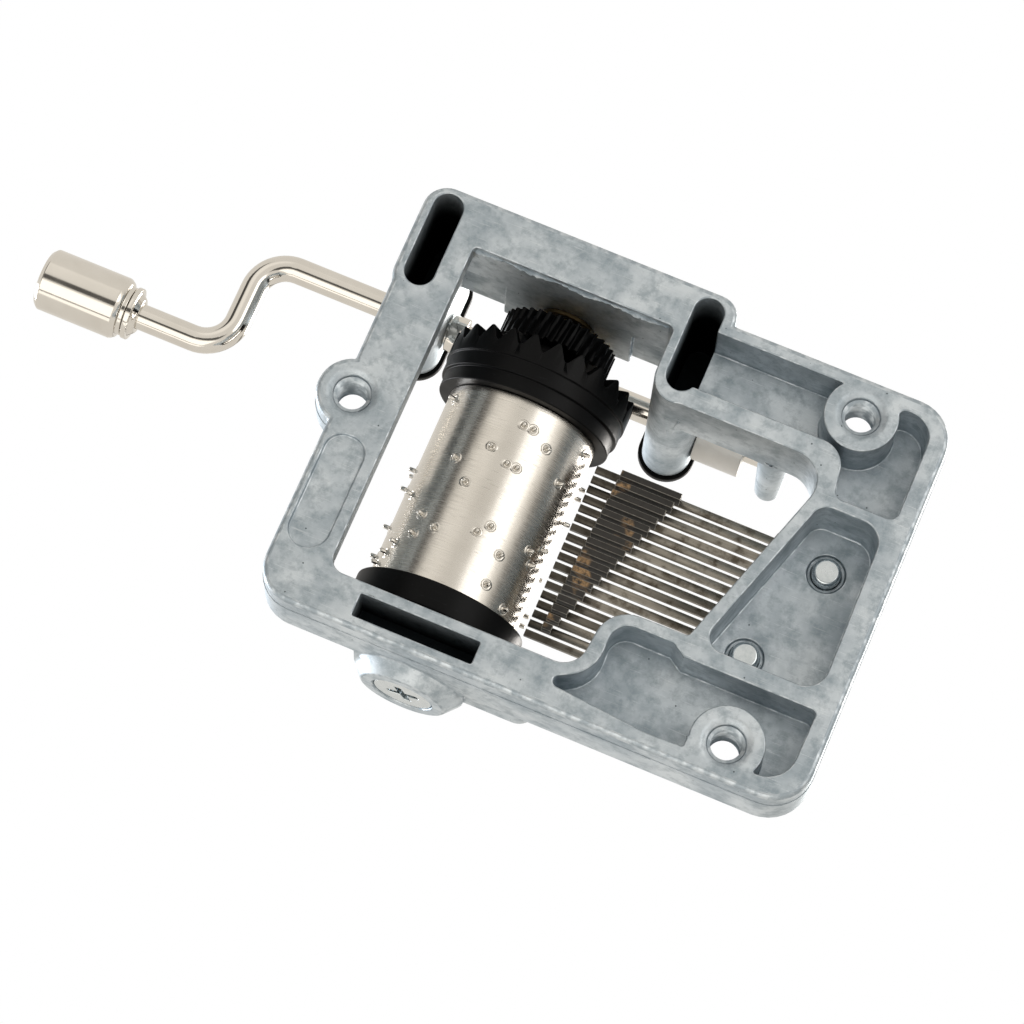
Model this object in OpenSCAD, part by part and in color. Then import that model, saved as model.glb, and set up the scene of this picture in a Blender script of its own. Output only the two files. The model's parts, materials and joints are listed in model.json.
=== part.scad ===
// Eighteen-note cylinder music movement driven by a hand crank.
// The origin is the middle of the lug's screw hole, on the mounting face.
// X runs along the crank shaft away from the crank, Y runs along the
// cylinder from its driven end to its free end, and Z points away from the
// mounting face, towards the mechanism.

/* [Bed] */
// Distance from the lug hole to the bed's crank-side edge
bed_left = 1; // [0.8:0.1:1.4]
// Distance from the lug hole to the bed's comb-side edge
bed_right = 49.2; // [48.8:0.1:50]
// Distance from the lug hole to the drive-side edge
bed_front = 21; // [20.8:0.1:21.4]
// Distance from the lug hole to the pivot-side edge
bed_back = 19.5; // [19.4:0.1:20]
// Height of the bed's walls
bed_h = 6.6; // [6.4:0.1:7]
// Height of the seat that the comb is screwed to
seat_h = 7.8; // [7.6:0.1:8]
// Height of the two posts that carry the crank shaft
post_h = 19.8; // [19.4:0.1:20.4]

/* [Screw holes] */
// Radius of the tapped mounting holes
tapped_r = 1.65; // [1.5:0.05:1.8]
// Depth of thread in the mounting holes
tapped_depth = 4.8; // [4.2:0.1:5]

/* [Cylinder] */
// Radius of the pinned sleeve
sleeve_r = 6.9; // [6.8:0.05:7]
// Height of the pins above the sleeve
pin_h = 0.6; // [0.4:0.05:0.62]
// Radius of one pin
pin_r = 0.21; // [0.18:0.01:0.25]
// Height of the cylinder's axis above the mounting face
axis_z = 9.2; // [9.1:0.05:9.3]
// Distance of the cylinder's axis from the lug hole
axis_x = 13.6; // [13.5:0.05:13.7]

/* [Worm drive] */
// Tooth module of the worm gear
gear_m = 0.29; // [0.28:0.005:0.3]
// Teeth on the worm wheel
wheel_teeth = 34; // [34]
// Threads that run side by side on the worm
worm_starts = 2; // [2]
// Pitch radius of the worm
worm_r = 1.87; // [1.85:0.01:1.9]

/* [Crank] */
// Radius of the crank rod
rod_r = 1.2; // [1.1:0.05:1.25]
// Distance between the shaft and the knob's axis
crank_throw = 9.7; // [9:0.1:10]
// Length of the knob
knob_l = 8.4; // [8:0.1:9]
// Radius of the knob
knob_r = 2.9; // [2.7:0.1:3.1]

/* [Comb] */
// Number of teeth on the comb
notes = 18; // [18]
// Distance from one tooth to the next
tooth_pitch = 0.955; // [0.95:0.005:0.96]
// Gap between two teeth
tooth_gap = 0.34; // [0.25:0.01:0.36]

/* [Hidden] */

// Smoothness: true circles, the pieces that end up as triangles, and the
// steps in a right-angle corner of an outline
$fn = 64;
mesh_fn = 24;
corner_steps = 8;
// Overshoot of a cutting shape, and the running clearance of a shaft
over = 0.5;
fit = 0.03;

// Gear geometry worked out from the module
wheel_r = gear_m * wheel_teeth / 2;
wheel_tip = wheel_r + 0.95 * gear_m;
wheel_root = wheel_r - 1.25 * gear_m;
worm_tip = worm_r + 0.9 * gear_m;
worm_root = worm_r - 1.25 * gear_m;
thread_pitch = PI * gear_m;
worm_lead = thread_pitch * worm_starts;
backlash = 0.12;

// Places along the cylinder's axis
shaft_y = -13.9;
shaft_z = axis_z + wheel_r + worm_r;
wheel_w = 2.4;
// The wheel's teeth slant by the worm's lead angle over its width
wheel_twist = -wheel_w * worm_lead / (2 * PI * worm_r) / wheel_r * 180 / PI;
ring_y = -11.5;
sleeve_y0 = -6.2;
sleeve_y1 = 12.4;
disc_y1 = 14.9;
bar_front_y = -16.6;
bar_back_y = 15.3;
bearing_end_y = 20.9;
// Tall wall between the shaft posts, and the ends of its thicker middle
wall_h = 12.3;
wall_pad_x = [7.5, 19.7];
// Stiffening lobe beside the free end's bearing
lobe_x = 23.2;
lobe_r = 1.7;
lobe_inset = 0.4;
lobe_h = 10.4;

// Bearing sizes
arbor_r = 1.2;
pivot_r = 0.9;
bush_r = 1.9;
screw_shank_r = 2.2;
screw_head_r = 2.7;

// Shaft posts: place of each post and the size of its rounded plan
post_xs = [0.9, 25.55];
post_w = 4.5;
post_front = -bed_front;
post_back = -10.05;
core_w = 2.7;
core_front = -20.35;
core_back = -11.3;
core_h = 13.6;
cap_t = 0.8;
cap_lip = 0.35;

// Places along the crank shaft
arm_x = -14.6;
bend_r = 3.1;
knob_inner_x = -24;
retainer_x = [27.8, 32.4];
retainer_r = 2.45;
stub_r = 0.9;
stub_x = 34.5;
worm_l = 7.6;

// Comb: the tips stand just outside the pins' circle
comb_y0 = -5.25;
tip_x = axis_x + sleeve_r + pin_h + 0.1;
tooth_z0 = 8.95;
tooth_z1 = 9.4;
comb_top = 9.5;
comb_screw_at = [[43.5, -2.8], [39.75, 7]];
comb_screw_r = 1.3;
comb_screw_hole_r = comb_screw_r + fit;
tri_floor = 6;

// Mounting holes: the lug's, and one in each comb-side corner
holes = [[0, 0], [41.2, -15.45], [41.4, 16.25]];
boss_r = 3.3;
sink_r = 2.4;
sink_depth = 0.45;

// Outlines: each corner is its place and its rounding radius
bed_outline = [[-bed_left, -bed_front, 2.1], [28.1, -bed_front, 2], [28.1, -18.8, 0],
  [bed_right, -18.8, 3.7], [bed_right, bed_back, 3.7], [-bed_left, bed_back, 3.3]];
window_outline = [[4.4, bar_front_y, 0.5], [23.3, bar_front_y, 0.6], [23.3, -10.2, 2.3],
  [40.9, -10.2, 2.6], [34.9, 8.8, 0.4], [27.8, 8.9, 3], [27.2, bar_back_y, 2.2],
  [4.4, bar_back_y, 1.3]];
pocket_front = [[26, -17.6, 0], [41.2, -17.6, 0], [41.2, -15.45, 0], [44.2, -15.45, 0],
  [44.2, -17.4, 0.6], [47.4, -17.4, 2.3], [47.4, -7.6, 0.9], [41.7, -7.6, 0.9],
  [41.1, -12.1, 2.4], [26, -12.1, 0]];
pocket_comb = [[41, -6.6, 1.5], [46.8, -6.6, 2], [47, 9.1, 2], [36, 9.1, 1.4]];
pocket_back = [[24.6, 17.2, 0.5], [28.9, 14.9, 3.5], [28.7, 9.9, 1.8], [34, 9.9, 0.6],
  [35.2, 10.7, 0.5], [47.4, 10.7, 0.5], [47.2, 17.7, 2.6], [34.6, 18.1, 1.4]];
recess_left = [[-0.3, 3.7, 1.6], [3.3, 3.7, 1.6], [3.3, 13.4, 1.7], [-0.3, 16.4, 1.7]];
seat_outline = [[40.8, -8.4, 1.5], [48.4, -8.4, 2], [48.4, 10.6, 2], [34.8, 10.6, 1]];

// The tune: each pin is a track from 0 to 17 and a step round the cylinder
pin_steps = 48;
tune_front = [[0, 28], [0, 45], [1, 37], [1, 38], [2, 40], [4, 35], [4, 43], [5, 37], [5, 38],
  [6, 0], [6, 32], [7, 25], [8, 34], [9, 25], [10, 28], [10, 45], [11, 38], [11, 43],
  [12, 31], [12, 37], [12, 44], [13, 25], [13, 33], [13, 40], [14, 31], [15, 29],
  [16, 25], [16, 28], [16, 40], [17, 27], [17, 43]];
tune_back = [for (i = [0:30]) [(i * 7 + 3) % notes, 1 + (i * 10) % 23]];
tune = concat(tune_front, tune_back);

// ---- shapes that are used again ----

function unit(v) = v / norm(v);

// Points of one rounded corner b between its neighbours a and c
function corner(a, b, c, r) =
  r == 0 ? [b] :
  let (u = unit(a - b), w = unit(c - b), half = acos(u * w) / 2,
    middle = b + unit(u + w) * r / sin(half),
    from = b + u * r / tan(half) - middle,
    to = b + w * r / tan(half) - middle,
    turn = atan2(from.x * to.y - from.y * to.x, from * to),
    steps = max(2, ceil(corner_steps * abs(turn) / 90)))
  [for (k = [0:steps]) let (t = turn * k / steps)
    middle + [from.x * cos(t) - from.y * sin(t), from.x * sin(t) + from.y * cos(t)]];

function flat(p) = [p.x, p.y];

module outline(corners) {
  n = len(corners);
  polygon([for (i = [0:n - 1])
    each corner(flat(corners[(i + n - 1) % n]), flat(corners[i]),
      flat(corners[(i + 1) % n]), corners[i].z)]);
}

// A prism of an outline between two heights
module slab(corners, z0, z1)
  translate([0, 0, z0]) linear_extrude(z1 - z0) outline(corners);

// A slot with round ends that runs along Y
module slot(x, y0, y1, w, z0, z1)
  translate([0, 0, z0]) {
    for (y = [y0 + w / 2, y1 - w / 2])
      translate([x, y, 0]) cylinder(r = w / 2, h = z1 - z0);
    translate([x - w / 2, y0 + w / 2, 0]) cube([w, y1 - y0 - w, z1 - z0]);
  }

// A cylinder along Y between y0 and y1, on the music cylinder's axis
module on_axis(y0, y1, r, r_end = -1)
  translate([axis_x, y0, axis_z]) rotate([-90, 0, 0])
    cylinder(r1 = r, r2 = r_end < 0 ? r : r_end, h = y1 - y0);

// A cylinder along X between x0 and x1, at the height and depth given
module along_x(x0, x1, r, r_end = -1, y = shaft_y)
  translate([x0, y, shaft_z]) rotate([0, 90, 0])
    cylinder(r1 = r, r2 = r_end < 0 ? r : r_end, h = x1 - x0);

// ---- bed casting ----

module post_body(x, grow, z0, z1)
  slot(x, post_front - grow, post_back + grow, post_w + 2 * grow, z0, z1);

module bed_solid() {
  // walls round the three sides that are deep
  difference() {
    slab(bed_outline, 0, bed_h);
    slab(window_outline, -over, bed_h + over);
    // the crank-side bar is a thin web behind an outer rib
    translate([1.4, bar_front_y, 2.2]) cube([4, bar_back_y - bar_front_y, bed_h]);
    // nothing stands above the web beside the lug
    translate([-over - bed_left, post_back + 2, tapped_depth]) cube([5, 8, bed_h]);
  }
  // round lug of the first screw hole
  cylinder(r = 3.2, h = tapped_depth);
  // comb seat
  slab(seat_outline, bed_h - over, seat_h);
  // tall wall between the posts, thicker in its middle
  translate([post_xs[0], -20.6, 0]) cube([post_xs[1] - post_xs[0], 3.6, wall_h]);
  translate([wall_pad_x[0], -20.2, 0])
    cube([wall_pad_x[1] - wall_pad_x[0], 3.6, wall_h + 0.8]);
  // shaft posts
  for (x = post_xs) post_body(x, 0, 0, post_h);
  // round post beside the end of the shaft
  translate([35.4, -11.6, bed_h - over]) cylinder(r1 = 1.55, r2 = 1.15, h = 10.6);
  // raised bearing of the free end of the cylinder, and the lobe beside it
  on_axis(bar_back_y, bed_back, 5.1);
  on_axis(bed_back, bearing_end_y, 5.1, 3.9);
  translate([axis_x - 5.1, bar_back_y, 0]) cube([10.2, bed_back - bar_back_y, axis_z]);
  translate([axis_x, bar_back_y + lobe_inset, 0])
    cube([lobe_x - axis_x, 2 * lobe_r, lobe_h]);
  translate([lobe_x, bar_back_y + lobe_inset + lobe_r, 0]) cylinder(r = lobe_r, h = lobe_h);
}

module bed_cuts() {
  // cores of the two posts
  for (x = post_xs) slot(x, core_front, core_back, core_w, -over, core_h);
  // pockets of the comb side
  difference() {
    slab(pocket_front, -over, 5);
    translate([holes[1].x, holes[1].y, -2 * over]) cylinder(r = boss_r, h = bed_h);
  }
  slab(pocket_comb, -over, tri_floor);
  difference() {
    slab(pocket_back, -over, 4.6);
    translate([holes[2].x, holes[2].y, -2 * over]) cylinder(r = boss_r, h = bed_h);
    translate([38.1, 17, -2 * over]) cube([6.3, 3, bed_h]);
  }
  // core beside the bearing, and the shallow panel of the crank-side bar
  translate([7.9, 16.3, -over]) cube([11, 2.1, 5 + over]);
  slab(recess_left, -over, 0.35);
  // tapped holes with a countersink, relieved from behind
  for (h = holes) translate([h.x, h.y, 0]) {
    translate([0, 0, -over]) cylinder(r = tapped_r, h = seat_h + 2 * over);
    cylinder(r1 = sink_r, r2 = tapped_r, h = sink_depth);
    translate([0, 0, tapped_depth]) cylinder(r = 2.2, h = seat_h);
  }
  // comb screw holes, each with a shallow counterbore in the pocket
  for (p = comb_screw_at) translate([p.x, p.y, 0]) {
    cylinder(r = comb_screw_hole_r, h = seat_h + over);
    cylinder(r = 1.7, h = tri_floor + 0.3);
  }
  // bores of the crank shaft, the arbor bush and the pivot screw
  along_x(-3, 29, rod_r + fit);
  on_axis(-19, bar_front_y + over, bush_r);
  on_axis(bar_back_y - over, bed_back + 1, screw_shank_r + fit);
  on_axis(20, bearing_end_y + over, screw_head_r + 0.1);
}

module bed() color("#b9c2c6") difference() {
  bed_solid();
  bed_cuts();
}

// Caps that close the top of the shaft posts
module shaft_cap(x) color("#232325") {
  post_body(x, cap_lip, post_h, post_h + cap_t);
  post_body(x, cap_lip - 0.3, post_h + cap_t, post_h + cap_t + 0.3);
}
module shaft_cap_left() shaft_cap(post_xs[0]);
module shaft_cap_right() shaft_cap(post_xs[1]);

// ---- cylinder ----

module pinned_sleeve() color("#d8d2c6") {
  difference() {
    on_axis(sleeve_y0, sleeve_y1, sleeve_r);
    on_axis(sleeve_y0 - over, sleeve_y1 + over, sleeve_r - 0.5);
  }
  for (p = tune)
    translate([axis_x, comb_y0 + (p[0] + 0.5) * tooth_pitch, axis_z])
      rotate([0, -p[1] * 360 / pin_steps, 0])
        translate([sleeve_r - 0.3, 0, 0]) rotate([0, 90, 0])
          cylinder(r = pin_r, h = pin_h + 0.3, $fn = 16);
}

crown_teeth = 24;
crown_depth = 1.3;

module crown_ring() color("#1d1d1f") difference() {
  union() {
    on_axis(ring_y, -8.9, 8.5);
    on_axis(-8.9, -7.5, 8.35);
    on_axis(-7.5, sleeve_y0, 8.05);
    on_axis(sleeve_y0, sleeve_y0 + 2, sleeve_r - 0.5);
  }
  // recess inside the crown
  on_axis(ring_y - over, ring_y + 1.9, 7);
  on_axis(ring_y - over, sleeve_y0 + 2 + over, arbor_r + fit);
  // pointed gaps between the crown's teeth
  for (i = [0:crown_teeth - 1])
    translate([axis_x, ring_y, axis_z]) rotate([0, i * 360 / crown_teeth, 0])
      translate([6, 0, 0]) rotate([0, 90, 0])
        linear_extrude(4) polygon([[-0.95, -over], [0.95, -over], [0.95, 0], [0.15, crown_depth],
          [-0.15, crown_depth], [-0.95, 0]]);
}

// One tooth of the worm wheel, pointing along X
tooth_angle = 360 / wheel_teeth;
function wheel_tooth(i) = [
  for (p = [[wheel_root, -0.42], [wheel_r, -0.25 + backlash / thread_pitch / 2],
      [wheel_tip, -0.13], [wheel_tip, 0.13], [wheel_r, 0.25 - backlash / thread_pitch / 2],
      [wheel_root, 0.42]])
    p[0] * [cos((i + p[1]) * tooth_angle), sin((i + p[1]) * tooth_angle)]];

module worm_wheel() color("#161618") difference() {
  union() {
    // toothed rim, slanted to lie along the worm's thread
    translate([axis_x, shaft_y + wheel_w / 2, axis_z]) rotate([90, 0, 0])
      linear_extrude(wheel_w, twist = wheel_twist, slices = 4)
        rotate(wheel_twist / 2) polygon([for (i = [0:wheel_teeth - 1]) each wheel_tooth(i)]);
    on_axis(shaft_y + wheel_w / 2, ring_y + 1.9, 3.2);
  }
  on_axis(-17, ring_y + 3, arbor_r + fit);
}

module end_disc() color("#1d1d1f") difference() {
  union() {
    on_axis(sleeve_y1, disc_y1, 7.8);
    on_axis(sleeve_y1 - 2, sleeve_y1, sleeve_r - 0.5);
  }
  on_axis(sleeve_y1 - 3, disc_y1 + over, arbor_r + fit);
}

module arbor() color("#c9cccf") {
  on_axis(-16.1, disc_y1 + 0.1, arbor_r);
  on_axis(-18.4, -16.1, pivot_r);
  on_axis(disc_y1 + 0.1, 17.4, pivot_r);
}

module arbor_washer() color("#c8b27a") difference() {
  on_axis(-16, shaft_y - wheel_w / 2, 2.2);
  on_axis(-17, shaft_y, arbor_r + fit);
}

module arbor_bush() color("#b8934a") difference() {
  union() {
    on_axis(-19, bar_front_y, bush_r);
    on_axis(bar_front_y, bar_front_y + 0.4, 2.5);
  }
  on_axis(-19 - over, -16, pivot_r + fit);
}

module pivot_screw() color("#d5d8da") difference() {
  union() {
    on_axis(20, bearing_end_y - 0.1, screw_head_r);
    on_axis(bar_back_y + 0.1, 20, screw_shank_r);
  }
  on_axis(bar_back_y - over, 17.8, pivot_r + fit);
  // cross recess
  translate([axis_x, bearing_end_y - 0.1, axis_z]) for (a = [20, 110]) rotate([0, a, 0])
    translate([-1.5, -1.2, -0.35]) cube([3, 1.2 + over, 0.7]);
}

// ---- comb ----

comb_plate = [[38.2, comb_y0, 0], [46.6, comb_y0, 1], [46.6, 11.94, 1], [33, 11.94, 0]];

module comb() color("#77736a") difference() {
  union() {
    slab(comb_plate, seat_h, comb_top);
    for (i = [0:notes - 1])
      translate([tip_x, comb_y0 + i * tooth_pitch + tooth_gap / 2, tooth_z0])
        cube([root_x(i) - tip_x, tooth_pitch - tooth_gap, tooth_z1 - tooth_z0]);
  }
  for (p = comb_screw_at)
    translate([p.x, p.y, seat_h - over]) cylinder(r = comb_screw_hole_r, h = 3);
}

// Where a tooth is sure to be inside the comb's plate
function root_x(i) = 39.2 - 5.4 * i / (notes - 1);

// Lead weights under the teeth, longest at the bass end
weight_x0 = tip_x + 2.3;
function weight_l(i) = 5.7 - 5.1 * i / (notes - 1);
function weight_h(i) = 1.7 - 0.9 * i / (notes - 1);

module tuning_weights() color("#2c2a27")
  for (i = [0:notes - 2])
    translate([weight_x0 - 1.2 * i / notes, comb_y0 + i * tooth_pitch + tooth_gap / 2,
        tooth_z0 - weight_h(i)])
      cube([weight_l(i), tooth_pitch - tooth_gap, weight_h(i)]);

module comb_screws() color("#cfd2d4")
  for (p = comb_screw_at) translate([p.x, p.y, 0]) difference() {
    union() {
      translate([0, 0, 5.2]) cylinder(r1 = 1.05, r2 = comb_screw_r, h = 0.3);
      translate([0, 0, 5.5]) cylinder(r = comb_screw_r, h = comb_top + 0.5 - 5.5);
      translate([0, 0, comb_top + 0.5]) cylinder(r = 2.3, h = 1.5);
    }
    translate([-3, -0.3, comb_top + 1.3]) cube([6, 0.6, 1]);
  }

module comb_washers() color("#b8bcbf")
  for (p = comb_screw_at) translate([p.x, p.y, comb_top]) difference() {
    cylinder(r = 2.6, h = 0.5);
    translate([0, 0, -over]) cylinder(r = comb_screw_hole_r, h = 2);
  }

// ---- crank ----

knob_y = shaft_y + crank_throw;
knob_outer_x = knob_inner_x - knob_l;

// A quarter bend of the rod round the upright axis at c
module bend(c, start) color("#d8d2c6")
  translate([c.x, c.y, shaft_z]) rotate([0, 0, start]) rotate_extrude(angle = 90)
    translate([bend_r, 0]) circle(rod_r);

module crank_rod() color("#d8d2c6") {
  along_x(arm_x + bend_r, retainer_x[1], rod_r);
  along_x(retainer_x[1], stub_x, stub_r);
  bend([arm_x + bend_r, shaft_y + bend_r], 180);
  translate([arm_x, shaft_y + bend_r, shaft_z]) rotate([-90, 0, 0])
    cylinder(r = rod_r, h = crank_throw - 2 * bend_r);
  bend([arm_x - bend_r, knob_y - bend_r], 0);
  along_x(knob_outer_x + 1.4, arm_x - bend_r, rod_r, -1, knob_y);
  // end of the rod, spread to hold the knob on
  along_x(knob_outer_x + 0.5, knob_outer_x + 1.4, 1.7, -1, knob_y);
}

module crank_knob() color("#d8d2c6") difference() {
  union() {
    along_x(knob_outer_x, knob_outer_x + 0.4, knob_r - 0.4, knob_r, knob_y);
    along_x(knob_outer_x + 0.4, knob_inner_x - 0.9, knob_r, -1, knob_y);
    along_x(knob_inner_x - 0.9, knob_inner_x - 0.45, knob_r, knob_r - 0.3, knob_y);
    along_x(knob_inner_x - 0.45, knob_inner_x, knob_r - 0.6, -1, knob_y);
  }
  along_x(knob_outer_x - over, knob_inner_x + over, rod_r + 0.06, -1, knob_y);
  along_x(knob_outer_x - over, knob_outer_x + 1.5, 1.8, -1, knob_y);
}

module knob_washer() color("#cfc9bd") difference() {
  union() {
    along_x(knob_inner_x + 0.1, knob_inner_x + 0.6, 2.45, -1, knob_y);
    along_x(knob_inner_x + 0.6, knob_inner_x + 1.1, 2.1, 1.6, knob_y);
  }
  along_x(knob_inner_x - over, knob_inner_x + 2, rod_r + fit, -1, knob_y);
}

// Corner points of the worm's thread t turns past its middle, for start s.
// The first start's crest is at the wheel when t is 0, so a gap of the wheel
// stands straight above its axis.
thread_steps = 24;
thread_turns = worm_l / worm_lead - 0.5;
thread_half_root = 0.36 * thread_pitch;
thread_half_tip = 0.11 * thread_pitch;
function thread_ring(t, s) =
  let (a = 360 * (t + s / worm_starts) - 90, x = axis_x + worm_lead * t)
  [for (p = [[worm_root - 0.08, -thread_half_root], [worm_root - 0.08, thread_half_root],
      [worm_tip, thread_half_tip], [worm_tip, -thread_half_tip]])
    [x + p[1], shaft_y + p[0] * cos(a), shaft_z + p[0] * sin(a)]];

module thread(s) {
  rings = floor(thread_turns * thread_steps);
  points = [for (k = [0:rings]) each thread_ring((k - rings / 2) / thread_steps, s)];
  polyhedron(points, concat(
    [[0, 1, 2, 3]],
    [for (k = [0:rings - 1], j = [0:3])
      let (a = 4 * k + j, b = 4 * k + (j + 1) % 4) [a, a + 4, b + 4, b]],
    [[4 * rings + 3, 4 * rings + 2, 4 * rings + 1, 4 * rings]]));
}

module drive_worm() color("#c3a25a") difference() {
  union() {
    along_x(axis_x - worm_l / 2, axis_x + worm_l / 2, worm_root);
    for (s = [0:worm_starts - 1]) thread(s);
  }
  along_x(axis_x - 8, axis_x + 8, rod_r + fit);
}

// Collar that keeps the shaft from sliding out through the crank-side post
module worm_collar() color("#cfc9bd") difference() {
  along_x(3.4, 4.9, 1.75);
  along_x(3, 6, rod_r + fit);
}

module shaft_retainer() color("#e6e1d8") difference() {
  along_x(retainer_x[0] + 0.1, retainer_x[1], retainer_r);
  along_x(retainer_x[0] - 1, retainer_x[1] + 1, rod_r + fit);
  // split that lets the sleeve grip the shaft
  translate([retainer_x[0] + 1.8, shaft_y, shaft_z - 3]) rotate([-25, 0, 0])
    translate([0, -0.12, -3]) cube([4, 0.24, 4]);
}

bed();
shaft_cap_left();
shaft_cap_right();
arbor_bush();
pivot_screw();
comb();
tuning_weights();
comb_screws();
comb_washers();
pinned_sleeve();
crown_ring();
worm_wheel();
end_disc();
arbor();
arbor_washer();
crank_rod();
drive_worm();
worm_collar();
shaft_retainer();
knob_washer();
crank_knob();
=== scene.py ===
# %% [markdown]
# ## A hand-cranked music movement
# This lesson dresses a small cylinder music movement: a zinc casting, a pinned nickel
# cylinder, a steel comb and a bent crank with a knob. The casting's places and sizes are
# fixed by the design, so everything here starts from the loaded frame, in metres, and each
# finished piece rides on one of its bodies.

# %% Load the frame
import json
import math
import random

import bmesh
import bpy
from mathutils import Matrix, Vector
from mathutils.bvhtree import BVHTree


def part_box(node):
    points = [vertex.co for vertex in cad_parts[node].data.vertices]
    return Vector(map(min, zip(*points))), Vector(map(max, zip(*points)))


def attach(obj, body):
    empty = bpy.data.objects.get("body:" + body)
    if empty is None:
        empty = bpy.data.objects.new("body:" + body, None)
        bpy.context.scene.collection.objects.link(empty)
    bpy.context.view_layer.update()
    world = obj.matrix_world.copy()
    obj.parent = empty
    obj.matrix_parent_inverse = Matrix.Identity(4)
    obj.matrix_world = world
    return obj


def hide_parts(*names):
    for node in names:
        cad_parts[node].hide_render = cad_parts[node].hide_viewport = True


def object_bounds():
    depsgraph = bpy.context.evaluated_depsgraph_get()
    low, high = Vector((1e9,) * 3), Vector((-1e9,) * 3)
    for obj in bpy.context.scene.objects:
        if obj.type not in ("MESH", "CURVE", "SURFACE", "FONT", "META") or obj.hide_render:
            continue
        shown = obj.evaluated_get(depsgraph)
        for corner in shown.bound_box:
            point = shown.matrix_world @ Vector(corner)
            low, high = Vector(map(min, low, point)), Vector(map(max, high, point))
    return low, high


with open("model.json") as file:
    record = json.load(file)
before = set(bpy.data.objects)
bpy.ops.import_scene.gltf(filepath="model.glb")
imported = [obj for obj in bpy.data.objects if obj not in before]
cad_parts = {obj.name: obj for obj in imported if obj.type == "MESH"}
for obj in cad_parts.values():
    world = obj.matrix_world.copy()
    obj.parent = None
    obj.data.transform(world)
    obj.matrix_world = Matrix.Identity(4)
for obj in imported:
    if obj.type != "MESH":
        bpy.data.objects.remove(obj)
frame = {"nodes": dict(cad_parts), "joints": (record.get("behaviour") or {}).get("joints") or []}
design_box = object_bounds()
nodes = frame["nodes"]
scene = bpy.context.scene
MM = 0.001
print("nodes:", len(nodes))
print("box in mm:", [[round(v / MM, 1) for v in corner] for corner in design_box])

# %% [markdown]
# ### The camera
# The movement is seen from its mounting side, so the camera hangs below the object and looks
# up at it through a long lens, as a catalogue picture is taken. A long lens keeps the
# parallel walls of the casting nearly parallel. The camera's axes are given as three unit
# vectors, which turn into the columns of its rotation.

# %% Camera
CAMERA_AT = Vector((0.0525, 0.1124, -0.3499))
CAMERA_UP = Vector((-0.3759, -0.8741, -0.3076))
CAMERA_FORWARD = Vector((-0.0969, -0.2931, 0.9512)).normalized()
LENS_MM = 151.2

camera_data = bpy.data.cameras.new("catalogue_camera")
camera_data.lens = LENS_MM
camera_data.sensor_width = 36
camera_data.clip_start = 0.01
camera_data.clip_end = 20
camera = bpy.data.objects.new("catalogue_camera", camera_data)
scene.collection.objects.link(camera)
right = CAMERA_FORWARD.cross(CAMERA_UP).normalized()
up = right.cross(CAMERA_FORWARD)
camera.matrix_world = Matrix.LocRotScale(
    CAMERA_AT, Matrix((right, up, -CAMERA_FORWARD)).transposed().to_quaternion(), None)
scene.camera = camera
scene.view_settings.view_transform = "Standard"
print("camera looks along", [round(v, 3) for v in CAMERA_FORWARD])


# %% [markdown]
# ### Two small helpers for shaders
# Colours are written as the hex values a painter would read off a swatch. They are sRGB
# values, and a shader works in linear light, so one function turns them. A second function
# adds a node, sets it and links it, which keeps every material below short enough to read.
# The part of it that fills sockets stands alone, because each material's shader needs it too.

# %% Colour and node helpers
def linear(hex_colour):
    """sRGB hex such as "#b4bec3" as linear RGBA."""
    parts = [int(hex_colour[i:i + 2], 16) / 255 for i in (1, 3, 5)]
    return tuple(part / 12.92 if part <= 0.04045 else ((part + 0.055) / 1.055) ** 2.4
                 for part in parts) + (1.0,)


def plug(tree, node, sockets):
    """Gives each socket of a node a number or a colour, or links it from an output."""
    for socket, value in sockets.items():
        if isinstance(value, bpy.types.NodeSocket):
            tree.links.new(value, node.inputs[socket])
        else:
            node.inputs[socket].default_value = value


def add(tree, kind, sockets=None, **settings):
    """Adds one node, with its settings first and its sockets after them."""
    node = tree.nodes.new("ShaderNode" + kind)
    for name, value in settings.items():
        setattr(node, name, value)
    plug(tree, node, sockets or {})
    return node


# %% [markdown]
# ### Light tent
# Polished nickel has no look of its own: it shows the room. Catalogue pictures of such parts
# are taken in a white tent, with a lamp panel beside the lens and the dark gaps of the tent's
# frame around it. The world is that tent. Panels are placed by their slope: how far a
# direction leans along X and along Y for each step down. The camera itself sees plain white.

# %% The tent as a world
TENT_WALL = linear("#ece8e1")
# Each panel: leans from and to along X, from and to along Y, brightness, softness of its edge
PANELS = [
    (-3.40, -1.15, -1.60, 0.80, 0.10, 0.14),
    (-0.95, -0.25, -0.95, -0.08, 1.36, 0.14),
    (0.52, 1.80, -1.10, -0.05, 1.55, 0.24),
    (2.60, 40.0, -2.50, 2.50, 0.28, 0.60),
    (-0.95, 0.35, 0.04, 0.34, 0.15, 0.03),
    (-1.20, 0.45, 0.46, 1.95, 2.10, 0.05),
    (-1.20, 0.60, 2.05, 2.40, 0.40, 0.04),
    (-1.20, 0.90, 2.50, 7.00, 1.90, 0.10),
]
world = bpy.data.worlds.new("light_tent")
scene.world = world
world.use_nodes = True
tent = world.node_tree
tent.nodes.clear()
heading = add(tent, "TexCoord").outputs["Generated"]
axes = add(tent, "SeparateXYZ", {0: heading}).outputs
# a direction that leans far has almost no step down, so the step is kept above nought
down = add(tent, "Math", {0: axes[2], 1: -1.0}, operation="MULTIPLY").outputs[0]
down = add(tent, "Math", {0: down, 1: 0.02}, operation="MAXIMUM").outputs[0]
lean = [add(tent, "Math", {0: axes[i], 1: down}, operation="DIVIDE").outputs[0] for i in (0, 1)]
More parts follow.
